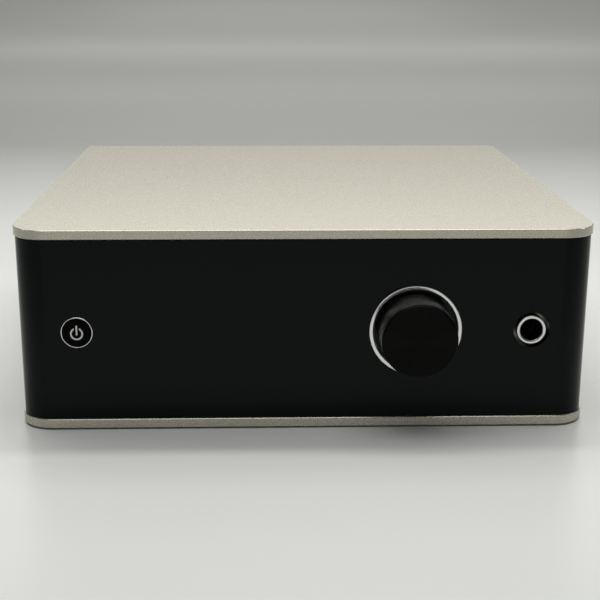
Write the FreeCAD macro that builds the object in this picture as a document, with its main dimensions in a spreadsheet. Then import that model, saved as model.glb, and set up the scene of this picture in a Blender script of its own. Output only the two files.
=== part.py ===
"""Desktop digital-to-analogue converter with a headphone amplifier, as a parametric FreeCAD document.

Millimetres. +X is to the right, +Y to the back and +Z up. The origin is on the surface that the unit
stands on, under the centre of its overall box. Two painted plates sandwich a black body: a wrapped
front panel, two side panels and a rear panel round a folded tray that carries the boards.
"""

import FreeCAD, Part
import os
import re
import Sketcher
from FreeCAD import Placement, Rotation, Vector

# ---------------------------------------------------------------- driving dimensions

SIZES = {
    # case
    "case_width": 170.0,
    "case_height": 60.0,  # outside of one plate to outside of the other
    "plate_depth": 166.0,
    "plate_thickness": 2.75,
    "plate_front_radius": 10.0,
    "plate_rear_radius": 1.5,
    "plate_chamfer": 0.15,
    "body_inset": 0.4,  # how far the black body stands in from the plates' edges
    "seam_gap": 0.3,  # shadow line between a plate and the body
    "fit_gap": 0.05,  # radial clearance of a screw, stud or pressed piece in its hole
    # feet
    "pad_proud": 0.5,
    "pad_sunk": 1.0,
    "pad_radius": 7.0,
    "pad_inset": 16.0,
    # black body
    "panel_wall": 2.5,
    "front_return": 14.0,  # how far the front panel wraps back along each side
    "side_wall": 2.0,
    "side_gap": 2.0,  # between a side panel and the tray's wall
    "rear_recess": 2.0,
    "rear_wall": 1.0,
    "tray_sheet": 1.0,
    "flange_width": 9.0,
    "flange_height": 14.0,
    "subpanel_sheet": 1.2,
    "subpanel_setback": 5.6,  # front panel's inner face to the subpanel
    "boss_radius": 3.0,
    "boss_across": 66.0,
    "boss_inset": 6.95,  # from the front panel's upper and lower edges
    # screws
    "screw_radius": 1.5,
    "screw_head_radius": 2.8,
    "screw_head_height": 1.6,
    "recess_length": 3.0,
    "recess_width": 0.6,
    "recess_depth": 1.0,
    "pillar_radius": 4.0,
    "front_pillar_across": 50.0,
    "front_pillar_back": 28.5,  # from the plates' front edge
    "rear_pillar_across": 74.0,
    "rear_pillar_in": 40.0,  # from the plates' back edge
    "side_screw_up": 30.0,
    # volume knob and its encoder
    "control_drop": 0.4,  # how far the knob, button and socket sit below the middle
    "knob_reach": 10.5,  # plates' front edge to the knob's face
    "knob_x": 32.3,
    "knob_radius": 11.0,
    "knob_chamfer": 0.6,
    "knob_wall": 1.8,
    "knob_face": 2.0,
    "knob_hub_radius": 5.0,
    "ring_radius": 13.75,
    "ring_width": 1.5,
    "ring_proud": 0.2,
    "ring_recess": 1.5,
    "knob_sunk": 0.8,
    "shaft_radius": 3.0,
    "shaft_flat": 1.5,
    "bearing_gap": 0.04,
    "bushing_wall": 0.5,
    "bushing_length": 6.0,
    "encoder_size": 12.0,
    "encoder_depth": 6.3,
    # power button and its switch
    "button_x": -66.6,
    "bezel_radius": 4.65,
    "bezel_width": 0.34,
    "bezel_proud": 0.2,
    "button_gap": 0.1,
    "button_proud": 0.35,
    "button_travel": 0.5,
    "switch_size": 6.0,
    "switch_depth": 3.5,
    "switch_floor": 0.8,
    # headphone socket
    "socket_x": 66.5,
    "socket_bore": 3.27,
    "socket_radius": 4.3,
    "socket_hole": 5.3,
    "socket_depth": 31.0,
    "socket_length": 24.8,
    "socket_width": 16.0,
    "socket_height": 14.0,
    "socket_spare": 1.65,  # between the tray's front tabs and the socket's board
    # display
    "display_x": -4.0,
    "display_width": 32.0,
    "display_height": 32.0,
    "display_glass": 1.7,
    "display_margin": 4.0,
    "display_board": 1.2,
    # boards
    "board_thickness": 1.6,
    "standoff_height": 12.0,
    "standoff_radius": 2.9,
    "main_board_width": 132.0,
    "main_board_depth": 102.0,
    "control_board_height": 33.0,
    "control_screw_in": 14.0,  # clear of the front panel's left boss screws
    "headphone_board_width": 24.0,
    "headphone_board_depth": 38.0,
    # rear connectors
    "rca_reach": 5.5,  # plates' back edge to the tips of the phono sockets
    "rca_radius": 4.15,
    "rca_core_radius": 3.6,
    "rca_bore": 1.65,
    "rca_bore_depth": 11.0,
    "rca_up": 9.2,  # above the main board
    "rca_collar_radius": 4.95,
    "rca_collar": 0.8,
    "line_right_x": 58.0,
    "line_left_x": 42.0,
    "coax_x": 22.0,
    "optical_one_x": 1.0,
    "optical_two_x": -18.0,
    "optical_size": 14.0,
    "optical_nose": 11.6,
    "optical_mouth_width": 9.2,
    "optical_mouth_height": 8.8,
    "optical_mouth_depth": 11.0,
    "shutter_thickness": 1.0,
    "shutter_gap": 0.2,
    "hinge_radius": 0.4,
    "usb_x": -39.0,
    "usb_width": 12.0,
    "usb_height": 11.0,
    "usb_mouth_width": 8.6,
    "usb_mouth_height": 7.9,
    "usb_depth": 16.0,
    "usb_tongue_width": 5.6,
    "usb_tongue_height": 3.2,
    "dc_x": -60.0,
    "dc_width": 9.0,
    "dc_height": 11.0,
    "dc_depth": 14.0,
    "dc_bore": 2.8,
    "dc_pin": 1.0,
    "socket_proud": 1.0,  # how far the optical, data and power sockets pass the rear panel
}

# Places worked out from the sizes; each may use those above it.
PLACES = {
    "overall_depth": "knob_reach + plate_depth + rca_reach",
    "half_width": "case_width / 2",
    "knob_front": "-overall_depth / 2",
    "plate_front": "knob_front + knob_reach",
    "plate_back": "plate_front + plate_depth",
    "plate_middle": "plate_front + plate_depth / 2",
    "case_low": "pad_proud",
    "case_top": "pad_proud + case_height",
    "mid_height": "pad_proud + case_height / 2",
    "control_up": "mid_height - control_drop",
    "floor_top": "case_low + plate_thickness",
    "ceiling": "case_top - plate_thickness",
    "panel_low": "floor_top + seam_gap",
    "panel_high": "ceiling - seam_gap",
    "body_half": "half_width - body_inset",
    "body_radius": "plate_front_radius - body_inset",
    "panel_front": "plate_front + body_inset",
    "panel_inner": "panel_front + panel_wall",
    "return_back": "panel_front + front_return",
    "subpanel_front": "panel_inner + subpanel_setback",
    "subpanel_back": "subpanel_front + subpanel_sheet",
    "rear_outer": "plate_back - rear_recess",
    "rear_inner": "rear_outer - rear_wall",
    "tray_half": "body_half - side_wall - side_gap",
    "tray_floor": "floor_top + tray_sheet",
    "control_front": "subpanel_back + encoder_depth",
    "control_back": "control_front + board_thickness",
    "control_left": "-(boss_across + 5)",
    "control_right": "socket_x - socket_width / 2 - 6",
    "board_low": "tray_floor + standoff_height",
    "board_top": "board_low + board_thickness",
    "main_back": "rear_inner - 2",
    "main_front": "main_back - main_board_depth",
    "tray_high": "panel_high - 1",
    "bushing_front": "subpanel_back - bushing_length",
    "bushing_radius": "shaft_radius + bushing_wall",
    "shaft_tip": "knob_front + knob_face + 1.5",
    "shaft_root": "subpanel_back + 3",
    "cap_radius": "bezel_radius - bezel_width - button_gap",
    "cap_front": "panel_front - button_proud",
    "cap_back": "panel_inner + 1.9",
    "stem_end": "subpanel_back + 0.6",
    "socket_back": "subpanel_back + socket_length",
    "front_pillar_y": "plate_front + front_pillar_back",
    "rear_pillar_y": "plate_back - rear_pillar_in",
    "knob_back": "panel_front + knob_sunk",
    "rca_tip": "plate_back + rca_reach",
    "rca_z": "board_top + rca_up",
    "optical_z": "board_top + optical_size / 2",
    "optical_face": "rear_outer + socket_proud",
    "optical_back": "optical_face - optical_mouth_depth",
    "hinge_z": "optical_z + optical_mouth_height / 2 - 0.8",
    "hinge_y": "optical_face - 0.4 - shutter_thickness / 2",
    "usb_z": "board_top + usb_height / 2",
    "dc_z": "board_top + dc_height / 2",
    "socket_board_top": "control_up - socket_height / 2",
    "socket_board_low": "socket_board_top - board_thickness",
    "socket_top": "control_up + socket_height / 2",
}

doc = FreeCAD.newDocument("DesktopDac")
sheet = doc.addObject("Spreadsheet::Sheet", "Sizes")
for row, (alias, size) in enumerate(SIZES.items(), 1):
    sheet.set(f"A{row}", alias)
    sheet.set(f"B{row}", str(size))
    sheet.setAlias(f"B{row}", alias)
doc.recompute()
gauge = doc.addObject("App::FeaturePython", "Gauge")
parts = []


def spell(text):
    """Spells a size out in the sheet's aliases, such as Sizes.case_width / 2."""

    def word(match):
        name = match.group(0)
        if name in PLACES:
            return "(" + spell(PLACES[name]) + ")"
        return "Sizes." + name if name in SIZES else name

    return re.sub(r"[a-z_]+", word, str(text))


def size(text):
    """The size in millimetres that an expression works out to."""
    return float(gauge.evalExpression(spell(text)))


def bind(thing, prop, text):
    thing.setExpression(prop, spell(text))


def part(thing, name):
    """Marks a finished object as a sub-part, whose name becomes its file's."""
    thing.Label = name
    parts.append(thing)
    return thing


# ---------------------------------------------------------------- sketches and bodies

# For each axis: the origin plane that faces along it, and the sign of that plane's normal.
PLANES = {"X": ("YZ_Plane", 1), "Y": ("XZ_Plane", -1), "Z": ("XY_Plane", 1)}


def new_body(name):
    return doc.addObject("PartDesign::Body", "Body_" + name)


def new_sketch(body, role, offset):
    """A sketch on one of the body's origin planes, moved by three sizes in the plane's own frame."""
    sketch = body.newObject("Sketcher::SketchObject", "Sketch")
    plane = next(f for f in body.Origin.OriginFeatures if f.Role == role)
    sketch.AttachmentSupport = (plane, [""])
    sketch.MapMode = "FlatFace"
    for axis, text in zip("xyz", offset):
        bind(sketch, f"AttachmentOffset.Base.{axis}", text)
    return sketch


def pin(sketch, curve, point, across, up):
    for kind, text in (("DistanceX", across), ("DistanceY", up)):
        number = sketch.addConstraint(Sketcher.Constraint(kind, curve, point, size(text)))
        bind(sketch, f"Constraints[{number}]", text)


def outline(sketch, corners):
    """A closed outline of straight sides through corners, each a pair of sizes."""
    points = [Vector(size(a), size(b), 0) for a, b in corners]
    count = len(points)
    first = sketch.GeometryCount
    for i, point in enumerate(points):
        sketch.addGeometry(Part.LineSegment(point, points[(i + 1) % count]))
    for i in range(count):
        after = first + (i + 1) % count
        sketch.addConstraint(Sketcher.Constraint("Coincident", first + i, 2, after, 1))
    for i, (across, up) in enumerate(corners):
        pin(sketch, first + i, 1, across, up)


def rectangle(sketch, left, right, low, high):
    outline(sketch, [(left, low), (right, low), (right, high), (left, high)])


def circle(sketch, across, up, radius):
    shape = Part.Circle(Vector(size(across), size(up), 0), Vector(0, 0, 1), size(radius))
    curve = sketch.addGeometry(shape)
    pin(sketch, curve, 3, across, up)
    number = sketch.addConstraint(Sketcher.Constraint("Radius", curve, size(radius)))
    bind(sketch, f"Constraints[{number}]", radius)


def extrude(body, kind, axis, low, high, draw):
    """Adds a Pad or a Pocket from low to high along an axis. draw puts the profile in its sketch."""
    role, sign = PLANES[axis]
    start = low if (kind == "Pad") == (sign > 0) else high
    sketch = new_sketch(body, role, ("0", "0", f"{sign} * ({start})"))
    draw(sketch)
    before = body.Shape.Volume if kind == "Pocket" else 0.0
    feature = body.newObject(f"PartDesign::{kind}", kind)
    feature.Profile = sketch
    bind(feature, "Length", f"({high}) - ({low})")
    doc.recompute()
    if kind == "Pocket" and body.Shape.Volume >= before:
        raise ValueError(f"{body.Name}: a pocket cut nothing")
    return feature


def pad(body, axis, low, high, draw):
    return extrude(body, "Pad", axis, low, high, draw)


def pocket(body, axis, low, high, draw):
    return extrude(body, "Pocket", axis, low, high, draw)


def dress(body, kind, prop, text, keep):
    """Fillets or chamfers the body's edges for which keep(edge) is true."""
    base = body.Tip
    names = [f"Edge{i}" for i, edge in enumerate(base.Shape.Edges, 1) if keep(edge)]
    if not names:
        raise ValueError(f"{body.Name}: no edge to dress")
    feature = body.newObject(f"PartDesign::{kind}", kind)
    feature.Base = (base, names)
    bind(feature, prop, text)
    doc.recompute()
    if "Invalid" in feature.State:
        raise ValueError(f"{body.Name}: a {kind} failed")
    return feature


def turned(name, x, z, corners):
    """A body turned about an axis along Y at x, z. Each corner is a radius and a y."""
    body = new_body(name)
    sketch = new_sketch(body, "XY_Plane", (x, "0", z))
    outline(sketch, corners)
    revolution = body.newObject("PartDesign::Revolution", "Revolution")
    revolution.Profile = sketch
    revolution.ReferenceAxis = (sketch, ["V_Axis"])
    revolution.Angle = 360
    doc.recompute()
    return body


def near(a, b):
    return abs(a - b) < 1e-4


def upright(edge):
    """True for a straight edge along Z."""
    return edge.BoundBox.XLength + edge.BoundBox.YLength < 1e-4


def flat_at(edge, height):
    """True for an edge that lies at a height."""
    return near(edge.BoundBox.ZMin, size(height)) and near(edge.BoundBox.ZMax, size(height))


def is_round(edge, radius):
    """True for a circle or an arc of a radius."""
    return edge.Curve.TypeId == "Part::GeomCircle" and near(edge.Curve.Radius, size(radius))


# ---------------------------------------------------------------- primitives and booleans

TURNS = {
    "X": Rotation(Vector(0, 1, 0), 90),
    "Y": Rotation(Vector(1, 0, 0), -90),
    "Z": Rotation(),
}


def place(thing, at, axis="Z"):
    thing.Placement = Placement(Vector(), TURNS[axis])
    for letter, text in zip("xyz", at):
        bind(thing, f"Placement.Base.{letter}", text)
    return thing


def block(x, y, z):
    """A box between two sizes along each axis."""
    thing = doc.addObject("Part::Box", "Block")
    for prop, (low, high) in zip(("Length", "Width", "Height"), (x, y, z)):
        bind(thing, prop, f"({high}) - ({low})")
    return place(thing, (x[0], y[0], z[0]))


def rod(axis, at, low, high, radius):
    """A cylinder along an axis from low to high, at its place along the other two axes in X, Y, Z order."""
    thing = doc.addObject("Part::Cylinder", "Rod")
    bind(thing, "Radius", radius)
    bind(thing, "Height", f"({high}) - ({low})")
    return place(thing, start_of(axis, at, low), axis)


def taper(axis, at, low, high, low_radius, high_radius):
    """A cone along an axis."""
    thing = doc.addObject("Part::Cone", "Taper")
    bind(thing, "Radius1", low_radius)
    bind(thing, "Radius2", high_radius)
    bind(thing, "Height", f"({high}) - ({low})")
    return place(thing, start_of(axis, at, low), axis)


def hexagon(axis, at, low, high, radius):
    """A six-sided bar along an axis."""
    thing = doc.addObject("Part::Prism", "Hexagon")
    thing.Polygon = 6
    bind(thing, "Circumradius", radius)
    bind(thing, "Height", f"({high}) - ({low})")
    return place(thing, start_of(axis, at, low), axis)


def start_of(axis, at, low):
    start = list(at)
    start.insert("XYZ".index(axis), low)
    return start


def joined(*pieces):
    if len(pieces) == 1:
        return pieces[0]
    thing = doc.addObject("Part::MultiFuse", "Joined")
    thing.Shapes = list(pieces)
    thing.Refine = True
    return thing


def cut(base, *tools):
    thing = doc.addObject("Part::Cut", "Cut")
    thing.Base = base
    thing.Tool = joined(*tools)
    thing.Refine = True
    return thing


def several(pieces):
    """Identical or kindred pieces that share a node, as separate solids."""
    thing = doc.addObject("Part::Compound", "Several")
    thing.Links = list(pieces)
    return thing


def cross(axis, at, low, high):
    """The cross-shaped tool that cuts a screw head's recess."""
    bars = []
    for wide, tall in (("recess_length", "recess_width"), ("recess_width", "recess_length")):
        spans = [(f"{mid} - {reach} / 2", f"{mid} + {reach} / 2") for mid, reach in zip(at, (wide, tall))]
        spans.insert("XYZ".index(axis), (low, high))
        bars.append(block(*spans))
    return joined(*bars)


def screw(axis, at, head_at, toward, length):
    """A pan-head screw whose head meets the work at head_at; the shank runs toward +1 or -1 along axis."""
    brim = "screw_head_height * 0.6"
    crown = "screw_head_radius * 0.72"
    if toward > 0:
        edge, top = f"{head_at} - {brim}", f"{head_at} - screw_head_height"
        solids = [
            rod(axis, at, edge, head_at, "screw_head_radius"),
            taper(axis, at, top, edge, crown, "screw_head_radius"),
            rod(axis, at, f"{head_at} - 0.5", f"{head_at} + {length}", "screw_radius"),
        ]
        return cut(joined(*solids), cross(axis, at, f"{top} - 0.1", f"{top} + recess_depth"))
    edge, top = f"{head_at} + {brim}", f"{head_at} + screw_head_height"
    solids = [
        rod(axis, at, head_at, edge, "screw_head_radius"),
        taper(axis, at, edge, top, "screw_head_radius", crown),
        rod(axis, at, f"{head_at} - ({length})", f"{head_at} + 0.5", "screw_radius"),
    ]
    return cut(joined(*solids), cross(axis, at, f"{top} - recess_depth", f"{top} + 0.1"))


def corners_of(across, low, high):
    """Four places, mirrored left and right."""
    return [(f"{side} * ({across})", y) for y in (low, high) for side in (-1, 1)]


# ---------------------------------------------------------------- where the fasteners are

PILLARS = [(f"{side} * front_pillar_across", "front_pillar_y") for side in (-1, 1)]
PILLARS += [(f"{side} * rear_pillar_across", "rear_pillar_y") for side in (-1, 1)]
PADS = corners_of("half_width - pad_inset", "plate_front + pad_inset", "plate_back - pad_inset")
BOSSES = corners_of("boss_across", "panel_low + boss_inset", "panel_high - boss_inset")
FLANGE_SCREWS = corners_of(
    "tray_half - tray_sheet - 3.4", "tray_floor + 9", "panel_high - 5"
)
CONTROL_SCREWS = [
    (x, f"mid_height + {side} * (control_board_height / 2 - 3)")
    for x in ("control_left + control_screw_in", "control_right - 5")
    for side in (-1, 1)
]
MAIN_SCREWS = corners_of("main_board_width / 2 - 4", "main_front + 4", "main_back - 22")
SOCKET_SCREWS = [
    (f"socket_x + {side} * (headphone_board_width / 2 - 4)", "subpanel_back + headphone_board_depth - 4")
    for side in (-1, 1)
]
SIDE_SCREWS = [("plate_middle - side_screw_up", "mid_height"), ("plate_back - 30", "mid_height")]
PHONO_X = ("line_right_x", "line_left_x", "coax_x")
PHONO_SCREWS = [("(line_left_x + line_right_x) / 2", "rca_z")]
OPTICAL_X = ("optical_one_x", "optical_two_x")


# ---------------------------------------------------------------- plates and feet


def plate(name, low, high):
    """A painted plate: round front corners, nearly square rear ones and a fine chamfer all round."""
    body = new_body(name)
    area = ("-half_width", "half_width", "plate_front", "plate_back")
    pad(body, "Z", low, high, lambda s: rectangle(s, *area))
    y_low, y_high = size("plate_front"), size("plate_back")
    front, rear = "plate_front_radius", "plate_rear_radius"
    dress(body, "Fillet", "Radius", front, lambda e: upright(e) and near(e.BoundBox.YMin, y_low))
    dress(body, "Fillet", "Radius", rear, lambda e: upright(e) and near(e.BoundBox.YMax, y_high))
    dress(body, "Chamfer", "Size", "plate_chamfer", lambda e: flat_at(e, low) or flat_at(e, high))
    return body


def circles(places, radius):
    """Draws a circle of that radius at each place."""

    def draw(sketch):
        for across, up in places:
            circle(sketch, across, up, radius)

    return draw


def top_plate():
    body = plate("top_plate", "ceiling", "case_top")
    pocket(body, "Z", "ceiling", "ceiling + plate_thickness / 2", circles(PILLARS, "screw_radius + fit_gap"))
    return part(body, "top_plate")


def bottom_plate():
    body = plate("bottom_plate", "case_low", "floor_top")
    pocket(body, "Z", "case_low", "floor_top", circles(PILLARS, "screw_radius + fit_gap"))
    dress(
        body, "Chamfer", "Size", "screw_head_radius - screw_radius",
        lambda e: flat_at(e, "case_low") and is_round(e, "screw_radius + fit_gap"),
    )
    pocket(body, "Z", "case_low", "case_low + pad_sunk", circles(PADS, "pad_radius"))
    return part(body, "bottom_plate")


def foot_pads():
    pads = [rod("Z", at, "0", "case_low + pad_sunk", "pad_radius - fit_gap") for at in PADS]
    return part(several(pads), "foot_pads")


def pillars():
    """Columns between the plates, each with a stud in the top plate and a tapped hole for a screw below."""
    columns = []
    for at in PILLARS:
        column = rod("Z", at, "tray_floor", "ceiling", "pillar_radius")
        stud = rod("Z", at, "ceiling - 1", "ceiling + plate_thickness / 2 - 0.1", "screw_radius")
        tapped = rod("Z", at, "tray_floor - 1", "tray_floor + 9", "screw_radius")
        columns.append(cut(joined(column, stud), tapped))
    return part(several(columns), "pillars")


def pillar_screws():
    """Countersunk screws, up through the bottom plate and the tray."""
    screws = []
    for at in PILLARS:
        neck = "case_low + screw_head_radius - screw_radius"
        head = taper("Z", at, "case_low", neck, "screw_head_radius", "screw_radius")
        whole = joined(head, rod("Z", at, "case_low", "tray_floor + 8", "screw_radius"))
        screws.append(cut(whole, cross("Z", at, "case_low - 0.1", "case_low + recess_depth")))
    return part(several(screws), "pillar_screws")


# ---------------------------------------------------------------- black body


def span(side, low, high):
    """A span along X, mirrored for the left side."""
    return (low, high) if side > 0 else (f"-({high})", f"-({low})")


def front_panel():
    """The gloss front, wrapped round both corners, with a thinned window for the display."""
    body = new_body("front_panel")
    outer = ("-body_half", "body_half", "panel_front", "return_back")
    inner = ("panel_wall - body_half", "body_half - panel_wall", "panel_inner", "return_back + 1")
    pad(body, "Z", "panel_low", "panel_high", lambda s: rectangle(s, *outer))
    front, inside = size("panel_front"), size("panel_inner")
    pocket(body, "Z", "panel_low", "panel_high", lambda s: rectangle(s, *inner))
    bend = "body_radius - panel_wall"
    dress(body, "Fillet", "Radius", bend, lambda e: upright(e) and near(e.BoundBox.YMin, inside))
    dress(body, "Fillet", "Radius", "body_radius", lambda e: upright(e) and near(e.BoundBox.YMin, front))
    pad(body, "Y", "panel_inner", "subpanel_front", circles(BOSSES, "boss_radius"))
    pocket(body, "Y", "panel_inner + 0.6", "subpanel_front", circles(BOSSES, "screw_radius"))
    ring = circles([("knob_x", "control_up")], "ring_radius + fit_gap")
    pocket(body, "Y", "panel_front", "panel_front + ring_recess", ring)
    pocket(body, "Y", "panel_front", "panel_inner", front_holes)
    pocket(body, "Y", "panel_inner - display_glass", "panel_inner", display_area)
    return part(body, "front_panel")


def front_holes(sketch):
    circle(sketch, "knob_x", "control_up", "shaft_radius + 1")
    circle(sketch, "button_x", "control_up", "bezel_radius + fit_gap")
    circle(sketch, "socket_x", "control_up", "socket_hole")


def display_area(sketch, margin="0"):
    rectangle(
        sketch,
        f"display_x - display_width / 2 - {margin}", f"display_x + display_width / 2 + {margin}",
        f"mid_height - display_height / 2 - {margin}", f"mid_height + display_height / 2 + {margin}",
    )


def side_panel(name, side):
    body = new_body(name)
    wall = ("return_back + 0.2", "rear_outer", "panel_low", "panel_high")
    pad(body, "X", *span(side, "body_half - side_wall", "body_half"), lambda s: rectangle(s, *wall))
    pad(body, "X", *span(side, "tray_half", "body_half - side_wall"), circles(SIDE_SCREWS, "boss_radius"))
    tapped = span(side, "tray_half", "tray_half + side_gap + 1.2")
    pocket(body, "X", *tapped, circles(SIDE_SCREWS, "screw_radius"))
    return part(body, name)


def rear_panel():
    body = new_body("rear_panel")
    wall = ("-(body_half - side_wall - 0.1)", "body_half - side_wall - 0.1", "panel_low", "panel_high")
    pad(body, "Y", "rear_inner", "rear_outer", lambda s: rectangle(s, *wall))
    pocket(body, "Y", "rear_inner", "rear_outer", rear_holes)
    return part(body, "rear_panel")


def rear_holes(sketch):
    for x in PHONO_X:
        circle(sketch, x, "rca_z", "rca_radius + 0.15")
    for x, z in FLANGE_SCREWS + PHONO_SCREWS:
        circle(sketch, x, z, "screw_radius + fit_gap")
    for x in OPTICAL_X:
        square_hole(sketch, x, "optical_z", "optical_nose", "optical_nose")
    square_hole(sketch, "usb_x", "usb_z", "usb_width", "usb_height")
    square_hole(sketch, "dc_x", "dc_z", "dc_width", "dc_height")


def square_hole(sketch, x, z, width, height):
    """A rectangular hole round a socket of that width and height, with a little to spare."""
    spare = "0.15"
    rectangle(
        sketch,
        f"{x} - {width} / 2 - {spare}", f"{x} + {width} / 2 + {spare}",
        f"{z} - {height} / 2 - {spare}", f"{z} + {height} / 2 + {spare}",
    )


def chassis_tray():
    """A folded steel tray with tabs at its four front and four rear corners."""
    body = new_body("chassis_tray")
    inner = "(tray_half - tray_sheet)"
    fold = [
        ("-tray_half", "floor_top"), ("tray_half", "floor_top"), ("tray_half", "tray_high"),
        (inner, "tray_high"), (inner, "tray_floor"), (f"-{inner}", "tray_floor"),
        (f"-{inner}", "tray_high"), ("-tray_half", "tray_high"),
    ]
    pad(body, "Y", "subpanel_back", "rear_inner", lambda s: outline(s, fold))
    front_low, front_high = "socket_board_low - socket_spare", "socket_top + 3 * socket_spare"
    rear_low, rear_high = "tray_floor + 2 + flange_height", "tray_high - flange_height"
    pad(body, "Y", "subpanel_back", "subpanel_back + tray_sheet", tabs(front_low, front_high))
    pad(body, "Y", "rear_inner - tray_sheet", "rear_inner", tabs(rear_low, rear_high))
    pocket(body, "Y", "subpanel_back", "rear_inner", circles(FLANGE_SCREWS, "screw_radius"))
    pocket(body, "X", "-tray_half", "tray_half", circles(SIDE_SCREWS, "screw_radius + fit_gap"))
    pocket(body, "Z", "floor_top", "tray_floor", circles(PILLARS, "screw_radius + fit_gap"))
    return part(body, "chassis_tray")


def tabs(lower_end, upper_end):
    """Draws a tab in each corner: the lower ones end at lower_end, and the upper ones start at upper_end."""

    def draw(sketch):
        for side in (-1, 1):
            across = span(side, "tray_half - tray_sheet - flange_width", "tray_half - tray_sheet")
            rectangle(sketch, *across, "tray_floor + 2", lower_end)
            rectangle(sketch, *across, upper_end, "tray_high")

    return draw


def front_subpanel():
    """The steel sheet behind the front that the controls are fixed to."""
    body = new_body("front_subpanel")
    sheet_area = ("-tray_half", "tray_half", "floor_top + 0.5", "tray_high")
    pad(body, "Y", "subpanel_front", "subpanel_back", lambda s: rectangle(s, *sheet_area))
    pocket(body, "Y", "subpanel_front", "subpanel_back", subpanel_holes)
    return part(body, "front_subpanel")


def subpanel_holes(sketch):
    for x, z in BOSSES + FLANGE_SCREWS:
        circle(sketch, x, z, "screw_radius + fit_gap")
    circle(sketch, "knob_x", "control_up", "bushing_radius + fit_gap")
    circle(sketch, "button_x", "control_up", "2.2")
    circle(sketch, "socket_x", "control_up", "socket_radius + fit_gap")
    rectangle(sketch, "display_x - 11", "display_x + 11", "mid_height - 2", "mid_height + 2")


def inner_screws():
    """Pan-head screws inside the case: into the front panel's bosses, the tray's tabs and the side panels."""
    reach = "subpanel_sheet + subpanel_setback - 1.5"
    screws = [screw("Y", at, "subpanel_back", -1, reach) for at in BOSSES]
    screws += [screw("Y", at, "subpanel_front", 1, "subpanel_sheet + tray_sheet + 2") for at in FLANGE_SCREWS]
    for side in (-1, 1):
        wall = f"{side} * (tray_half - tray_sheet)"
        screws += [screw("X", at, wall, side, "tray_sheet + side_gap + 1") for at in SIDE_SCREWS]
    return part(several(screws), "inner_screws")


def rear_screws():
    screws = [screw("Y", at, "rear_outer", -1, "rear_wall + tray_sheet + 2") for at in FLANGE_SCREWS]
    return part(several(screws), "rear_screws")


# ---------------------------------------------------------------- volume knob and encoder

KNOB = ("knob_x", "control_up")


def knob_shell():
    chamfer = "knob_radius - knob_chamfer"
    inner = "knob_radius - knob_wall"
    corners = [
        ("0", "knob_front"), (chamfer, "knob_front"), ("knob_radius", "knob_front + knob_chamfer"),
        ("knob_radius", "knob_back"), (inner, "knob_back"), (inner, "knob_front + knob_face"),
        ("0", "knob_front + knob_face"),
    ]
    return part(turned("knob_shell", *KNOB, corners), "knob_shell")


def shaft(low, high):
    """The encoder's shaft between two places, with a flat along its front part."""
    flat = block(
        ("knob_x - shaft_radius - 1", "knob_x + shaft_radius + 1"),
        ("shaft_tip - 1", "bushing_front - 1"),
        ("control_up + shaft_radius - shaft_flat", "control_up + shaft_radius + 1"),
    )
    return cut(rod("Y", KNOB, low, high, "shaft_radius"), flat)


def knob_hub():
    """The moulded insert that grips the shaft inside the turned shell."""
    face = "knob_front + knob_face"
    disc = rod("Y", KNOB, face, f"{face} + 4", "knob_radius - knob_wall")
    hub = rod("Y", KNOB, face, "knob_back - 0.3", "knob_hub_radius")
    return part(cut(joined(disc, hub), shaft("shaft_tip", "knob_back")), "knob_hub")


def knob_ring():
    front, back = "panel_front - ring_proud", "panel_front + ring_recess"
    inner = "ring_radius - ring_width"
    bevel = "0.25"
    corners = [
        (inner, f"{front} + {bevel}"), (f"{inner} + {bevel}", front), (f"ring_radius - {bevel}", front),
        ("ring_radius", f"{front} + {bevel}"), ("ring_radius", back), (inner, back),
    ]
    return part(turned("knob_ring", *KNOB, corners), "knob_ring")


def encoder():
    bore = "shaft_radius + bearing_gap"
    half = "encoder_size / 2"
    case = block(
        (f"knob_x - {half}", f"knob_x + {half}"),
        ("subpanel_back", "control_front"),
        (f"control_up - {half}", f"control_up + {half}"),
    )
    part(cut(case, rod("Y", KNOB, "subpanel_back - 1", "shaft_root + 0.3", bore)), "encoder_body")
    bushing = rod("Y", KNOB, "bushing_front", "subpanel_back", "bushing_radius")
    part(cut(bushing, rod("Y", KNOB, "bushing_front - 1", "subpanel_back + 1", bore)), "encoder_bushing")
    part(shaft("shaft_tip", "shaft_root"), "encoder_shaft")
    thread = ("Y", KNOB, "bushing_front", "subpanel_back", "bushing_radius")
    washer = rod("Y", KNOB, "subpanel_front - 0.5", "subpanel_front", "bushing_radius + 2.2")
    part(cut(washer, rod(*thread)), "encoder_washer")
    nut = hexagon("Y", KNOB, "subpanel_front - 2.5", "subpanel_front - 0.5", "bushing_radius + 2.6")
    part(cut(nut, rod(*thread)), "encoder_nut")


# ---------------------------------------------------------------- power button and its switch

BUTTON = ("button_x", "control_up")


def button_bezel():
    inner = "bezel_radius - bezel_width"
    front, lip = "panel_front - bezel_proud", "bezel_radius + 0.9"
    corners = [
        (inner, front), ("bezel_radius", front), ("bezel_radius", "panel_inner"), (lip, "panel_inner"),
        (lip, "panel_inner + 0.8"), (inner, "panel_inner + 0.8"),
    ]
    return part(turned("button_bezel", *BUTTON, corners), "button_bezel")


def power_symbol(low, high):
    """A broken ring with a bar in the break."""
    x, z = "button_x", "control_up - 0.3"
    stroke, radius = "0.5", "1.9"
    ring = cut(
        rod("Y", (x, z), low, high, radius),
        rod("Y", (x, z), f"{low} - 1", f"{high} + 1", f"{radius} - {stroke}"),
        block((f"{x} - 0.75", f"{x} + 0.75"), (f"{low} - 1", f"{high} + 1"), (z, f"{z} + 3")),
    )
    bar = block((f"{x} - {stroke} / 2", f"{x} + {stroke} / 2"), (low, high), (f"{z} - 0.4", f"{z} + 2.5"))
    return several([ring, bar])


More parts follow.
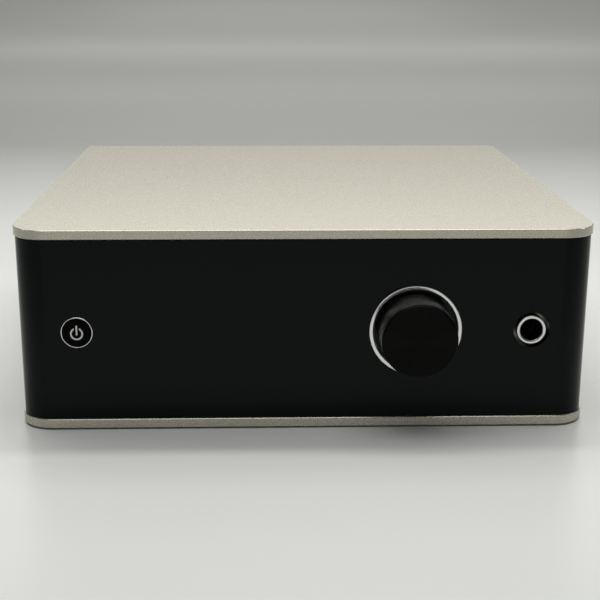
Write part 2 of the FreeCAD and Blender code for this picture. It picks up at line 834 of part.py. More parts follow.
def button_cap():
    """The cap, its retaining flange behind the bezel and the stem that reaches the switch."""
    flange = "bezel_radius + 0.5"
    corners = [
        ("0", "cap_front"), ("cap_radius", "cap_front"), ("cap_radius", "panel_inner + 0.9"),
        (flange, "panel_inner + 0.9"), (flange, "cap_back"), ("1.5", "cap_back"), ("1.5", "stem_end"),
        ("0", "stem_end"),
    ]
    body = turned("button_cap", *BUTTON, corners)
    front = size("cap_front")
    dress(body, "Fillet", "Radius", "0.35", lambda e: near(e.BoundBox.YMax, front) and e.Length > 6)
    return part(cut(body, power_symbol("cap_front - 1", "cap_front + 0.2")), "button_cap")


def button_symbol():
    return part(power_symbol("cap_front", "cap_front + 0.2"), "button_symbol")


def tact_switch():
    half = "switch_size / 2"
    case = block(
        (f"button_x - {half}", f"button_x + {half}"),
        ("control_front - switch_depth", "control_front"),
        (f"control_up - {half}", f"control_up + {half}"),
    )
    well = rod("Y", BUTTON, "control_front - switch_depth - 1", "control_front - switch_floor", "1.75")
    part(cut(case, well), "switch_body")
    inner_end = "control_front - switch_floor - button_travel - 0.2"
    part(rod("Y", BUTTON, "stem_end", inner_end, "1.7"), "switch_plunger")


# ---------------------------------------------------------------- display


def display():
    """The display's glass in the front panel's window, and its board on four spacers."""
    glass = new_body("display_glass")
    pad(glass, "Y", "panel_inner - display_glass", "panel_inner", lambda s: display_area(s, "-0.3"))
    part(glass, "display_glass")
    plain = new_body("display_plain")
    back = "panel_inner + display_board"
    pad(plain, "Y", "panel_inner", back, lambda s: display_area(s, "display_margin"))
    header = block(
        ("display_x - 10", "display_x + 10"),
        (back, "control_front"),
        ("mid_height - 1.3", "mid_height + 1.3"),
    )
    part(joined(plain, header), "display_board")
    across, up = "display_width / 2 + 2", "display_height / 2 + 2"
    ends = (-1, 1)
    spots = [(f"display_x + {i} * ({across})", f"mid_height + {j} * ({up})") for i in ends for j in ends]
    part(several([rod("Y", at, back, "subpanel_front", "1.6") for at in spots]), "display_spacers")


# ---------------------------------------------------------------- headphone socket

SOCKET = ("socket_x", "control_up")


def headphone_socket():
    bevel = "0.3"
    corners = [
        ("socket_bore", f"panel_front + {bevel}"), (f"socket_bore + {bevel}", "panel_front"),
        ("socket_radius", "panel_front"), ("socket_radius", "subpanel_back"),
        ("socket_bore", "subpanel_back"),
    ]
    part(turned("jack_bushing", *SOCKET, corners), "jack_bushing")
    nut = hexagon("Y", SOCKET, "subpanel_front - 2", "subpanel_front", "socket_radius + 2.6")
    part(cut(nut, rod("Y", SOCKET, "subpanel_front - 3", "subpanel_back", "socket_radius")), "jack_nut")
    across, up = "socket_width / 2", "socket_height / 2"
    case = block(
        (f"socket_x - {across}", f"socket_x + {across}"),
        ("subpanel_back", "socket_back"),
        (f"control_up - {up}", f"control_up + {up}"),
    )
    bore = rod("Y", SOCKET, "subpanel_back - 1", "panel_front + socket_depth", "socket_bore")
    part(cut(case, bore), "jack_body")
    pins = []
    for side in (-1, 1):
        for step in range(3):
            at = (f"socket_x + {side} * ({across} - 1.5)", f"socket_back - 3 - {step} * 7")
            pins.append(rod("Z", at, "socket_board_low - 1.2", "socket_board_top", "0.5"))
    part(several(pins), "jack_pins")


# ---------------------------------------------------------------- boards


def board(name, axis, low, high, area, holes):
    body = new_body(name)
    pad(body, axis, low, high, lambda s: rectangle(s, *area))
    pocket(body, axis, low, high, holes)
    return part(body, name)


def boards():
    half = "main_board_width / 2"
    screw_hole = "screw_radius + fit_gap"
    main = (f"-{half}", half, "main_front", "main_back")
    board("main_board", "Z", "board_low", "board_top", main, circles(MAIN_SCREWS, screw_hole))
    up = "control_board_height / 2"
    control = ("control_left", "control_right", f"mid_height - {up}", f"mid_height + {up}")
    board("control_board", "Y", "control_front", "control_back", control, circles(CONTROL_SCREWS, screw_hole))
    across = "headphone_board_width / 2"
    area = (
        f"socket_x - {across}", f"socket_x + {across}",
        "subpanel_back + 0.5", "subpanel_back + headphone_board_depth",
    )
    board("headphone_board", "Z", "socket_board_low", "socket_board_top", area, headphone_holes)


def headphone_holes(sketch):
    for x, y in SOCKET_SCREWS:
        circle(sketch, x, y, "screw_radius + fit_gap")
    for side in (-1, 1):
        for step in range(3):
            at = (f"socket_x + {side} * (socket_width / 2 - 1.5)", f"socket_back - 3 - {step} * 7")
            circle(sketch, *at, "0.5")


def standoff(axis, at, low, high):
    tapped = rod(axis, at, f"{low} - 1", f"{high} + 1", "screw_radius")
    return cut(rod(axis, at, low, high, "standoff_radius"), tapped)


def fixings():
    """Standoffs and screws of the three boards."""
    main = [standoff("Z", at, "tray_floor", "board_low") for at in MAIN_SCREWS]
    main += [standoff("Z", at, "tray_floor", "socket_board_low") for at in SOCKET_SCREWS]
    part(several(main), "board_standoffs")
    control = [standoff("Y", at, "subpanel_back", "control_front") for at in CONTROL_SCREWS]
    part(several(control), "control_standoffs")
    reach = "board_thickness + 4"
    screws = [screw("Z", at, "board_top", -1, reach) for at in MAIN_SCREWS]
    screws += [screw("Z", at, "socket_board_top", -1, reach) for at in SOCKET_SCREWS]
    screws += [screw("Y", at, "control_back", -1, reach) for at in CONTROL_SCREWS]
    part(several(screws), "board_screws")


def on_board(x, y, width, depth, height):
    """A block that stands on the main board, centred at x, y."""
    return block(
        (f"{x} - {width} / 2", f"{x} + {width} / 2"),
        (f"{y} - {depth} / 2", f"{y} + {depth} / 2"),
        ("board_top", f"board_top + {height}"),
    )


def board_components():
    flat = [("-24", "14", "14"), ("8", "10", "10"), ("30", "8", "6"), ("-44", "9", "9")]
    chips = [on_board(x, "main_front + 46", width, depth, "1.6") for x, width, depth in flat]
    part(several(chips), "chips")
    columns = [f"{side} * {across}" for side in (-1, 1) for across in (28, 41)]
    cans = [(x, f"main_front + {y}") for y in (18, 31) for x in columns]
    part(several([rod("Z", at, "board_top", "board_top + 16", "5") for at in cans]), "capacitors")
    crystals = [on_board(x, "main_front + 58", "11.5", "4.6", "3.6") for x in ("-24", "-8")]
    part(several(crystals), "crystals")
    fins = [on_board(str(x), "main_front + 25", "1.2", "16", "22") for x in range(-12, 13, 4)]
    base = on_board("0", "main_front + 34", "25.2", "2", "22")
    part(joined(base, *fins), "heat_sink")
    regulators = [on_board(x, "main_front + 37.2", "10", "4.4", "15") for x in ("-6.5", "6.5")]
    part(several(regulators), "regulators")


def ribbon_cable():
    """The flat cable with its two plugs, between the control board and the main board."""
    body = new_body("ribbon")
    top, sag, sheet_depth = "board_top + 6.7", "board_top + 2", 0.7
    path = [
        ("control_back + 2", top), ("control_back + 9", top), ("control_back + 16", sag),
        ("main_front - 14", sag), ("main_front - 5", top), ("main_front + 8", top),
    ]
    under = [(y, f"{z} - {sheet_depth}") for y, z in reversed(path)]
    pad(body, "X", "10", "34", lambda s: outline(s, path + under))
    middle = "22"
    foot = on_board(middle, "main_front + 5", "26", "6", "6")
    plug = block(("9", "35"), ("control_back", "control_back + 6"), ("board_top", "board_top + 6"))
    return part(joined(body, foot, plug), "ribbon_cable")


# ---------------------------------------------------------------- rear sockets


def phono_sockets():
    """Two line outputs and the coaxial input, each a plated barrel round a coloured core."""
    barrels, contacts, cores = [], [], []
    for x in PHONO_X:
        at = (x, "rca_z")
        hollow = rod("Y", at, "rear_inner - 1", "rca_tip + 1", "rca_core_radius")
        barrel = rod("Y", at, "rear_inner", "rca_tip", "rca_radius")
        collar = rod("Y", at, "rear_outer", "rear_outer + rca_collar", "rca_collar_radius")
        barrels.append(cut(joined(barrel, collar), hollow))
        bore = rod("Y", at, "rca_tip - rca_bore_depth", "rca_tip + 1", "rca_bore")
        cores.append(cut(rod("Y", at, "rear_inner", "rca_tip - 0.4", "rca_core_radius"), bore))
        inside = rod("Y", at, "rca_tip - rca_bore_depth", "rca_tip", "rca_bore - 0.2")
        sleeve = rod("Y", at, "rca_tip - rca_bore_depth", "rca_tip - 1.6", "rca_bore")
        contacts.append(cut(sleeve, inside))
    part(several(barrels), "phono_barrels")
    part(several(contacts), "phono_contacts")
    for core, name in zip(cores, ("phono_core_right", "phono_core_left", "phono_core_coax")):
        part(core, name)


def phono_housings():
    """The moulded blocks behind the rear panel, one for the pair of line outputs and one for the input."""
    blocks = []
    for left, right in (("line_left_x - 7", "line_right_x + 7"), ("coax_x - 7", "coax_x + 7")):
        blocks.append(block((left, right), ("rear_inner - 10", "rear_inner"), ("board_top", "rca_z + 6.5")))
    deep = "rca_tip - rca_bore_depth"
    bores = [rod("Y", (x, "rca_z"), deep, "rear_inner + 1", "rca_bore") for x in PHONO_X]
    taps = [rod("Y", at, "rear_inner - 6", "rear_inner + 1", "screw_radius") for at in PHONO_SCREWS]
    part(cut(several(blocks), *bores, *taps), "phono_housings")
    part(several([screw("Y", at, "rear_outer", -1, "rear_wall + 5") for at in PHONO_SCREWS]), "phono_screws")


def optical_case(x):
    """A moulded receiver with a square mouth, bearings for its flap and the fibre's seat at the bottom."""
    half, mouth, nose = "optical_size / 2", "optical_mouth_width / 2", "optical_nose / 2"
    up = "optical_mouth_height / 2"
    case = block(
        (f"{x} - {half}", f"{x} + {half}"), ("optical_back - 4", "rear_inner - 0.2"),
        ("board_top", "board_top + optical_size"),
    )
    snout = block(
        (f"{x} - {nose}", f"{x} + {nose}"), ("rear_inner - 1", "optical_face"),
        (f"optical_z - {nose}", f"optical_z + {nose}"),
    )
    hollow = block(
        (f"{x} - {mouth}", f"{x} + {mouth}"), ("optical_back", "optical_face + 1"),
        (f"optical_z - {up}", f"optical_z + {up}"),
    )
    ends = (f"{x} - {mouth} - 0.9", f"{x} + {mouth} + 0.9")
    bearing = rod("X", ("hinge_y", "hinge_z"), *ends, "hinge_radius + bearing_gap")
    seat = rod("Y", (x, "optical_z"), "optical_back - 1", "optical_back + 2", "1.5")
    return joined(cut(joined(case, snout), hollow, bearing), seat)


def shutter(x, name):
    """The sprung flap that closes an optical input."""
    half = "(optical_mouth_width / 2 - shutter_gap)"
    thick = "shutter_thickness / 2"
    leaf = block(
        (f"{x} - {half}", f"{x} + {half}"), (f"hinge_y - {thick}", f"hinge_y + {thick}"),
        ("optical_z - optical_mouth_height / 2 + shutter_gap", "hinge_z"),
    )
    at = ("hinge_y", "hinge_z")
    top = rod("X", at, f"{x} - {half}", f"{x} + {half}", thick)
    pin_reach = "(optical_mouth_width / 2 + 0.8)"
    pins = rod("X", at, f"{x} - {pin_reach}", f"{x} + {pin_reach}", "hinge_radius")
    return part(joined(leaf, top, pins), name)


def optical_inputs():
    part(several([optical_case(x) for x in OPTICAL_X]), "optical_inputs")
    shutter("optical_one_x", "optical_shutter_1")
    shutter("optical_two_x", "optical_shutter_2")


def data_socket():
    """The square data port: a folded metal shell round a moulded tongue."""
    across, mouth, up = "usb_width / 2", "usb_mouth_width / 2", "usb_mouth_height / 2"
    floor = "optical_face - usb_depth + 3"
    shell = block(
        (f"usb_x - {across}", f"usb_x + {across}"), ("optical_face - usb_depth", "optical_face"),
        ("board_top", "board_top + usb_height"),
    )
    hollow = block(
        (f"usb_x - {mouth}", f"usb_x + {mouth}"),
        (floor, "optical_face + 1"),
        (f"usb_z - {up}", f"usb_z + {up}"),
    )
    part(cut(shell, hollow), "data_shell")
    wide, high = "usb_tongue_width / 2", "usb_tongue_height / 2"
    tongue = block(
        (f"usb_x - {wide}", f"usb_x + {wide}"),
        (floor, "optical_face - 1.5"),
        (f"usb_z - {high}", f"usb_z + {high}"),
    )
    part(tongue, "data_tongue")


def power_socket():
    at = ("dc_x", "dc_z")
    case = block(
        ("dc_x - dc_width / 2", "dc_x + dc_width / 2"), ("optical_face - dc_depth", "optical_face"),
        ("board_top", "board_top + dc_height"),
    )
    floor = "optical_face - dc_depth + 4"
    part(cut(case, rod("Y", at, floor, "optical_face + 1", "dc_bore")), "power_socket")
    part(rod("Y", at, floor, "optical_face - 1", "dc_pin"), "power_pin")


# ---------------------------------------------------------------- build


def build():
    top_plate()
    bottom_plate()
    foot_pads()
    pillars()
    pillar_screws()
    front_panel()
    side_panel("side_panel_left", -1)
    side_panel("side_panel_right", 1)
    rear_panel()
    chassis_tray()
    front_subpanel()
    inner_screws()
    rear_screws()
    knob_shell()
    knob_hub()
    knob_ring()
    encoder()
    button_bezel()
    button_cap()
    button_symbol()
    tact_switch()
    display()
    headphone_socket()
    boards()
    fixings()
    board_components()
    ribbon_cable()
    phono_sockets()
    phono_housings()
    optical_inputs()
    data_socket()
    power_socket()
    doc.recompute()


def check():
    """Stops if any object failed to recompute or any sub-part has no valid shape."""
    for thing in doc.Objects:
        if {"Invalid", "Error"} & set(thing.State):
            raise ValueError(f"{thing.Name} failed: {thing.State}")
    for thing in parts:
        if thing.Shape.isNull() or not thing.Shape.isValid() or not thing.Shape.Solids:
            raise ValueError(f"{thing.Label} has no valid solid")


def write():
    os.makedirs("parts", exist_ok=True)
    for thing in parts:
        thing.Shape.exportStep(f"parts/{thing.Label}.step")
        print(thing.Label, len(thing.Shape.Solids), round(thing.Shape.Volume, 2))


build()
check()
write()
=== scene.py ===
import math

import bpy
from mathutils import Matrix, Vector

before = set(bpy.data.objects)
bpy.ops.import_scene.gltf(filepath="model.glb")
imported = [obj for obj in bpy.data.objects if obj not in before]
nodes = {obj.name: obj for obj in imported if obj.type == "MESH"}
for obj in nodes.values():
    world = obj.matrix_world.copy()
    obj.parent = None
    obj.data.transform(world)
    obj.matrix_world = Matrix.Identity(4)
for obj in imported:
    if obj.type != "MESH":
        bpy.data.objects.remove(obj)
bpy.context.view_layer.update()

MM = 0.001

# Middles as x and z in mm: the round things and the display on the front, and one phono socket.
KNOB = (32.3, 30.1)
SOCKET = (66.5, 30.1)
BUTTON = (-66.6, 30.1)
PHONO = (42, 27.05)
DISPLAY = (-4.0, 30.5)
DISPLAY_HALF = 16.0  # half the side of the display's window
KNOB_EDGE = -90.4  # y where the knob's side meets its front chamfer


# ---------------------------------------------------------------- surfaces


class Surface:
    """A Principled material whose textures are measured in millimetres on the object."""

    def __init__(self, name, color, roughness, metallic=0.0):
        self.material = bpy.data.materials.new(name)
        self.material.use_nodes = True
        self.tree = self.material.node_tree
        self.shader = self.tree.nodes["Principled BSDF"]
        self.set("Base Color", (*color, 1.0))
        self.set("Roughness", roughness)
        self.set("Metallic", metallic)
        self.bumps = None
        coordinates = self.add("ShaderNodeTexCoord")
        scale = self.add("ShaderNodeMapping")
        scale.inputs["Scale"].default_value = (1 / MM,) * 3
        self.join(coordinates.outputs["Object"], scale.inputs["Vector"])
        self.place = scale.outputs["Vector"]

    def set(self, socket, amount):
        self.shader.inputs[socket].default_value = amount

    def add(self, kind, **settings):
        node = self.tree.nodes.new(kind)
        for key, setting in settings.items():
            setattr(node, key, setting)
        return node

    def join(self, output, socket):
        self.tree.links.new(output, socket)

    def feed(self, node, *inputs):
        """Joins or sets a node's inputs in order, and returns its first output."""
        for socket, value in zip(node.inputs, inputs):
            if isinstance(value, bpy.types.NodeSocket):
                self.join(value, socket)
            else:
                socket.default_value = value
        return node.outputs[0]

    def math(self, operation, *values):
        return self.feed(self.add("ShaderNodeMath", operation=operation), *values)

    def noise(self, size, detail=2.0, shift=0.0):
        """Noise from 0 to 1 whose blobs are about size mm across."""
        node = self.add("ShaderNodeTexNoise")
        where = self.add("ShaderNodeMapping")
        where.inputs["Scale"].default_value = (1 / size,) * 3
        where.inputs["Location"].default_value = (shift,) * 3
        self.join(self.place, where.inputs["Vector"])
        self.join(where.outputs["Vector"], node.inputs["Vector"])
        node.inputs["Scale"].default_value = 1.0
        node.inputs["Detail"].default_value = detail
        return node.outputs["Fac"]

    def span(self, value, low, high, to_low, to_high):
        node = self.add("ShaderNodeMapRange")
        return self.feed(node, value, low, high, to_low, to_high)

    def mix(self, factor, first, second):
        """A colour between two, each a colour or a socket."""
        node = self.add("ShaderNodeMix", data_type="RGBA")
        for socket, value in ((0, factor), (6, first), (7, second)):
            if isinstance(value, bpy.types.NodeSocket):
                self.join(value, node.inputs[socket])
            else:
                node.inputs[socket].default_value = (*value, 1.0) if socket else value
        return node.outputs[2]

    def axes(self):
        """The x, y and z of a point on the object in mm."""
        split = self.add("ShaderNodeSeparateXYZ")
        self.join(self.place, split.inputs[0])
        return split.outputs

    def paint(self, color):
        self.join(color, self.shader.inputs["Base Color"])

    def polish(self, roughness):
        self.join(roughness, self.shader.inputs["Roughness"])

    def raise_by(self, height, depth):
        """Bump from a height of 0 to 1 that stands for depth mm."""
        node = self.add("ShaderNodeBump")
        node.inputs["Strength"].default_value = 1.0
        node.inputs["Distance"].default_value = depth * MM
        self.join(height, node.inputs["Height"])
        if self.bumps:
            self.join(self.bumps, node.inputs["Normal"])
        self.bumps = node.outputs["Normal"]
        self.join(self.bumps, self.shader.inputs["Normal"])

    def radius_from(self, x, z):
        """Distance in mm from an axis along Y at x, z in mm."""
        axes = self.axes()
        across = self.math("SUBTRACT", axes["X"], x)
        up = self.math("SUBTRACT", axes["Z"], z)
        squares = [self.math("MULTIPLY", side, side) for side in (across, up)]
        return self.math("SQRT", self.math("ADD", *squares))


def shade(color, amount):
    return tuple(min(1.0, channel * amount) for channel in color)


def grained(name, color, roughness, metallic=0.0, grain=0.35, tone=0.08, depth=0.004, cloud=22.0):
    """A fine grain with a bump of its depth in mm, and a slow drift of tone and roughness."""
    look = Surface(name, color, roughness, metallic)
    fine = look.noise(grain, detail=3.0)
    slow = look.noise(cloud, detail=2.0, shift=7.3)
    grains = look.mix(look.span(fine, 0.3, 0.7, 0, 1), shade(color, 1 - tone), shade(color, 1 + tone))
    half = tone / 2
    drift = look.mix(look.span(slow, 0.3, 0.7, 0, 1), shade(color, 1 - half), shade(color, 1 + half))
    look.paint(look.mix(0.4, grains, drift))
    spread = roughness * 0.12
    look.polish(look.span(slow, 0.25, 0.75, roughness - spread, roughness + spread))
    look.raise_by(fine, depth)
    return look


def turned(name, color, roughness, x, z, pitch, depth):
    """A lathe-turned metal: fine rings, pitch mm apart and depth mm deep, round an axis along Y."""
    look = Surface(name, color, roughness, metallic=1.0)
    radius = look.radius_from(x, z)
    rings = look.math("SINE", look.math("MULTIPLY", radius, 2 * math.pi / pitch))
    uneven = look.noise(0.8, detail=2.0)
    groove = look.math("MULTIPLY", look.span(rings, -1, 1, 0, 1), look.span(uneven, 0.3, 0.7, 0.5, 1))
    look.raise_by(groove, depth)
    look.paint(look.mix(groove, shade(color, 0.85), shade(color, 1.1)))
    look.polish(look.span(uneven, 0.3, 0.7, roughness * 0.85, roughness * 1.15))
    return look


def plate_look():
    """Fine blasted aluminium under a pale champagne coat, with a speckle that shows at arm's length."""
    color = (0.552, 0.525, 0.440)
    look = Surface("plate_paint", color, 0.27, 0.74)
    fine = look.noise(0.30, detail=2.0)
    speckle = look.noise(0.50, detail=1.0, shift=3.1)
    drift = look.noise(40, detail=1.0, shift=7.3)
    grains = look.mix(fine, shade(color, 0.90), shade(color, 1.10))
    flecks = look.mix(speckle, shade(color, 0.97), shade(color, 1.03))
    tone = look.mix(drift, shade(color, 0.985), shade(color, 1.015))
    look.paint(look.mix(0.2, look.mix(0.35, grains, flecks), tone))
    look.polish(look.span(fine, 0, 1, 0.23, 0.31))
    look.raise_by(fine, 0.0016)
    return look


def front_look():
    """Black gloss with the display's edge just showing through."""
    color = (0.0003, 0.0011, 0.0008)
    look = grained("front_gloss", color, 0.035, grain=0.2, tone=0.2, depth=0.0001, cloud=30)
    look.set("Specular IOR Level", 0.125)
    look.set("Specular Tint", (0.88, 1.0, 0.95, 1.0))
    axes = look.axes()
    soft = 0.5
    bands = []
    for axis, middle in zip("XZ", DISPLAY):
        away = look.math("ABSOLUTE", look.math("SUBTRACT", axes[axis], middle))
        bands.append(look.span(away, DISPLAY_HALF - soft, DISPLAY_HALF, 1, 0))
    inside = look.math("MULTIPLY", *bands)
    base = look.shader.inputs["Base Color"].links[0].from_socket
    look.paint(look.mix(inside, base, (0.0008, 0.0014, 0.0026)))
    return look


def assign(look, *names):
    for name in names:
        thing = nodes[name]
        thing.data.materials.clear()
        thing.data.materials.append(look.material)


def dress_case():
    assign(plate_look(), "top_plate", "bottom_plate")
    assign(front_look(), "front_panel")
    black = grained("black_metal", (0.012, 0.012, 0.013), 0.42, 0.2, grain=0.3, tone=0.25, depth=0.005)
    assign(black, "side_panel_left", "side_panel_right", "rear_panel")
    rubber = grained("foot_rubber", (0.02, 0.02, 0.02), 0.8, grain=0.5, tone=0.3, depth=0.02)
    assign(rubber, "foot_pads")
    blacked = grained("black_screw", (0.015, 0.015, 0.016), 0.35, 0.8, grain=0.4, tone=0.3, depth=0.004)
    assign(blacked, "rear_screws", "phono_screws", "pillar_screws")


def knob_look():
    """Black anodised aluminium turned in fine rings, which spread reflections across the rings, with a
    painted sheen on its side.
    """
    # Painted sheen: the side's colour is about nine times lighter than the face's, though both are the same
    # anodised metal, to strengthen the highlight band on the side.
    face, side = (0.0105, 0.0110, 0.0102), (0.095, 0.092, 0.089)
    look = Surface("knob_metal", face, 0.5, 1.0)
    look.set("Anisotropic", 0.95)
    look.set("Anisotropic Rotation", 0.25)
    tangent = look.add("ShaderNodeTangent", direction_type="RADIAL", axis="Y")
    look.join(tangent.outputs[0], look.shader.inputs["Tangent"])
    depth = look.axes()["Y"]
    behind = look.span(depth, KNOB_EDGE - 0.1, KNOB_EDGE + 0.1, 0, 1)
    pitch = 0.16
    wave = 2 * math.pi / pitch
    rings = look.math("SINE", look.math("MULTIPLY", look.radius_from(*KNOB), wave))
    turns = look.math("SINE", look.math("MULTIPLY", depth, wave))
    groove = look.math("ADD", rings, look.math("MULTIPLY", behind, turns))
    uneven = look.noise(0.9, detail=2.0)
    tone = look.math("MULTIPLY", look.span(groove, -1, 1, 0.3, 1), uneven)
    faced = look.mix(tone, shade(face, 0.8), shade(face, 1.2))
    side_painted_sheen = look.mix(tone, shade(side, 0.85), shade(side, 1.15))
    look.paint(look.mix(behind, faced, side_painted_sheen))
    finish = look.span(behind, 0, 1, 0.48, 0.22)
    look.polish(look.math("ADD", finish, look.span(uneven, 0, 1, -0.05, 0.05)))
    return look


def dress_controls():
    assign(knob_look(), "knob_shell")
    for name, color, roughness, middle, node in (
        ("ring_metal", (0.80, 0.80, 0.79), 0.12, KNOB, "knob_ring"),
        ("bezel_metal", (0.80, 0.80, 0.79), 0.12, BUTTON, "button_bezel"),
        ("ferrule_metal", (0.78, 0.78, 0.76), 0.14, SOCKET, "jack_bushing"),
    ):
        assign(turned(name, color, roughness, *middle, pitch=0.2, depth=0.0006), node)
    cap = grained("button_plastic", (0.0012, 0.0012, 0.0012), 0.12, grain=0.2, tone=0.2, depth=0.0005)
    cap.set("Specular IOR Level", 0.03)
    assign(cap, "button_cap")
    symbol = grained("symbol_print", (0.66, 0.66, 0.64), 0.6, grain=0.15, tone=0.1, depth=0.002)
    assign(symbol, "button_symbol")
    hub = grained("hub_plastic", (0.01, 0.01, 0.01), 0.5, grain=0.4, tone=0.2, depth=0.01)
    assign(hub, "knob_hub", "jack_body", "switch_body")


def dress_rear():
    gold = turned("phono_gold", (0.83, 0.60, 0.25), 0.18, *PHONO, pitch=0.5, depth=0.001)
    assign(gold, "phono_barrels", "phono_contacts")
    for name, color in (
        ("phono_core_right", (0.42, 0.015, 0.015)),
        ("phono_core_left", (0.72, 0.72, 0.69)),
        ("phono_core_coax", (0.55, 0.16, 0.01)),
    ):
        assign(grained(name, color, 0.4, grain=0.3, tone=0.1, depth=0.004), name)
    moulded = grained("moulded_black", (0.014, 0.014, 0.014), 0.5, grain=0.35, tone=0.25, depth=0.008)
    assign(moulded, "phono_housings", "optical_inputs", "power_socket")
    flap = grained("flap_black", (0.02, 0.02, 0.021), 0.38, grain=0.25, tone=0.2, depth=0.004)
    assign(flap, "optical_shutter_1", "optical_shutter_2")
    tin = grained("bright_tin", (0.72, 0.72, 0.70), 0.25, 1.0, grain=0.6, tone=0.08, depth=0.002)
    assign(tin, "data_shell", "power_pin")
    tongue = grained("tongue_white", (0.7, 0.7, 0.66), 0.45, grain=0.3, tone=0.06, depth=0.004)
    assign(tongue, "data_tongue")


def dress_inside():
    steel = grained("zinc_steel", (0.55, 0.55, 0.53), 0.38, 0.9, grain=2.0, tone=0.12, depth=0.004, cloud=9)
    assign(
        steel, "pillars", "chassis_tray", "front_subpanel", "inner_screws", "board_screws", "encoder_body",
        "encoder_bushing", "encoder_shaft", "encoder_washer", "encoder_nut", "jack_nut", "jack_pins",
        "display_spacers", "crystals",
    )
    brass = grained("standoff_brass", (0.72, 0.55, 0.25), 0.3, 1.0, grain=0.8, tone=0.1, depth=0.002)
    assign(brass, "board_standoffs", "control_standoffs")
    mask = grained("solder_mask", (0.01, 0.09, 0.04), 0.35, grain=0.9, tone=0.3, depth=0.01, cloud=5)
    assign(mask, "main_board", "control_board", "headphone_board", "display_board")
    display = grained("display_dark", (0.01, 0.013, 0.02), 0.12, grain=0.3, tone=0.2, depth=0.0004)
    assign(display, "display_glass")
    parts = grained("component_black", (0.018, 0.018, 0.02), 0.5, grain=0.3, tone=0.2, depth=0.006)
    assign(parts, "chips", "capacitors", "heat_sink", "regulators")
    plunger = grained("plunger_white", (0.6, 0.6, 0.58), 0.5, grain=0.3, tone=0.08, depth=0.004)
    assign(plunger, "switch_plunger")
    ribbon = grained("cable_grey", (0.3, 0.3, 0.31), 0.55, grain=0.6, tone=0.15, depth=0.02)
    assign(ribbon, "ribbon_cable")


def soften(width, *names):
    """Rounds the sharp edges of nodes by width mm, as machined ones are."""
    for name in names:
        weld = nodes[name].modifiers.new("seams", "WELD")
        weld.merge_threshold = 0.001 * MM
        bevel = nodes[name].modifiers.new("edges", "BEVEL")
        bevel.width = width * MM
        bevel.segments = 4
        bevel.limit_method = "ANGLE"
        bevel.angle_limit = math.radians(35)
        bevel.harden_normals = True


# ---------------------------------------------------------------- room, light and camera


def sweep(name, profile, half_width):
    """A sheet that follows a profile of y, z points along X."""
    vertices = [(side * half_width, y, z) for y, z in profile for side in (-1, 1)]
    faces = [(2 * i, 2 * i + 1, 2 * i + 3, 2 * i + 2) for i in range(len(profile) - 1)]
    mesh = bpy.data.meshes.new(name)
    mesh.from_pydata(vertices, [], faces)
    for polygon in mesh.polygons:
        polygon.use_smooth = True
    thing = bpy.data.objects.new(name, mesh)
    bpy.context.collection.objects.link(thing)
    return thing


def room():
    """A satin white table that curves up into a plain wall, with painted shade that darkens it towards the
    wall in place of light falling off.
    """
    wall, bend, height, near, half_width, steps = 0.66, 0.14, 2.4, -9.0, 9.0, 24
    turn = [math.pi / 2 * i / steps for i in range(steps + 1)]
    curve = [(wall - bend + bend * math.sin(a), bend - bend * math.cos(a)) for a in turn]
    backdrop = sweep("backdrop", [(near, 0.0), *curve, (wall, height)], half_width)
    look = Surface("table_satin", (0.66, 0.67, 0.65), 0.30)
    look.set("Specular IOR Level", 0.4)
    cloud = look.noise(120, detail=2.0)
    table = look.mix(cloud, (0.655, 0.665, 0.65), (0.68, 0.69, 0.675))
    # Painted shade: the table's colour darkens from 190 mm to 500 mm in y towards the wall, standing in for
    # the light falling off.
    painted_shade_from, painted_shade_to = 190, 500
    painted_falloff = look.span(look.axes()["Y"], painted_shade_from, painted_shade_to, 0, 1)
    look.paint(look.mix(painted_falloff, table, (0.405, 0.41, 0.395)))
    look.polish(look.span(cloud, 0, 1, 0.28, 0.32))
    backdrop.data.materials.append(look.material)


def softbox(name, place, target, size, power, color):
    """A rectangular light at place, facing target, that sends out power watts."""
    light = bpy.data.lights.new(name, "AREA")
    light.shape = "RECTANGLE"
    light.size, light.size_y = size
    light.energy = power
    light.color = color
    thing = bpy.data.objects.new(name, light)
    place = Vector(place)
    thing.location = place
    thing.rotation_euler = (Vector(target) - place).to_track_quat("-Z", "Y").to_euler()
    bpy.context.collection.objects.link(thing)


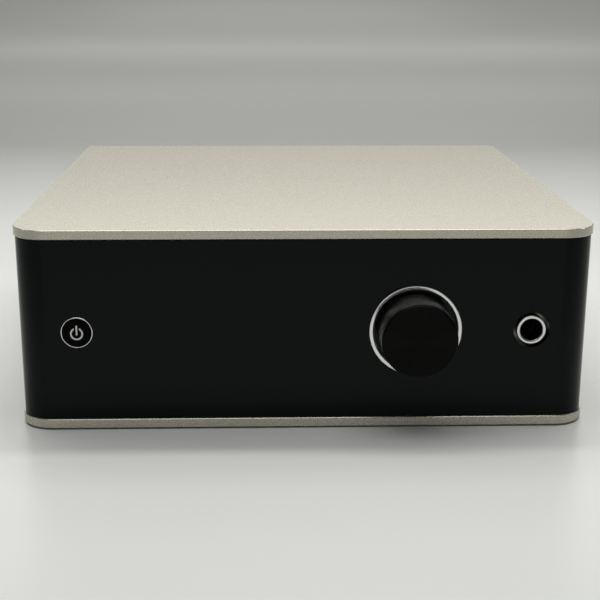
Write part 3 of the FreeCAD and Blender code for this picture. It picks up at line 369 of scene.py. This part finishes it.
def lights():
    """Two tubes and a broad lamp overhead, a faint fill in front and two soft lights behind."""
    world = bpy.data.worlds.new("room_light")
    world.use_nodes = True
    background = world.node_tree.nodes["Background"]
    background.inputs["Color"].default_value = (0.93, 0.97, 1.0, 1.0)
    background.inputs["Strength"].default_value = 0.14
    bpy.context.scene.world = world
    warm = (1.0, 0.99, 0.965)
    softbox("tube_middle", (0.345, 0.165, 0.9), (0.345, 0.165, 0), (1.67, 0.085), 4.15, warm)
    softbox("tube_left", (-0.80, 0.165, 0.9), (-0.80, 0.165, 0), (0.5, 0.085), 0.7, warm)
    softbox("lamp", (0.0, -0.02, 0.5), (0, -0.02, 0), (0.5, 0.5), 2.0, warm)
    softbox("front_fill", (0.0, -1.3, 0.22), (0, -0.1, 0.03), (1.2, 0.25), 0.9, warm)
    softbox("window_high", (0.0, 0.35, 0.60), (0, -0.1, 0), (1.0, 0.3), 1.15, warm)
    softbox("window_low", (0.0, 0.62, 0.33), (0, -0.1, 0.06), (0.8, 0.2), 0.70, warm)


def camera():
    """Looks down at the front through a 70 mm lens, from a little left of the middle; angles in radians."""
    lens = bpy.data.cameras.new("view")
    lens.lens = 70.16
    lens.sensor_width = 36.0
    thing = bpy.data.objects.new("view", lens)
    yaw, pitch, roll = 0.0322, 0.2751, 0.0037
    ahead = Vector((math.sin(yaw) * math.cos(pitch), math.cos(yaw) * math.cos(pitch), -math.sin(pitch)))
    right = Vector((math.cos(yaw), -math.sin(yaw), 0))
    up = right.cross(ahead)
    level_right = right * math.cos(roll) + up * math.sin(roll)
    level_up = up * math.cos(roll) - right * math.sin(roll)
    turn = Matrix((level_right, level_up, -ahead)).transposed()
    place = (-0.0122, -0.4065, 0.1318)
    thing.matrix_world = Matrix.Translation(place) @ turn.to_4x4()
    bpy.context.collection.objects.link(thing)
    bpy.context.scene.camera = thing


dress_case()
dress_controls()
soften(0.16, "button_bezel")
soften(0.25, "knob_ring", "jack_bushing")
dress_rear()
dress_inside()
room()
lights()
camera()
bpy.context.scene.view_settings.view_transform = "Standard"
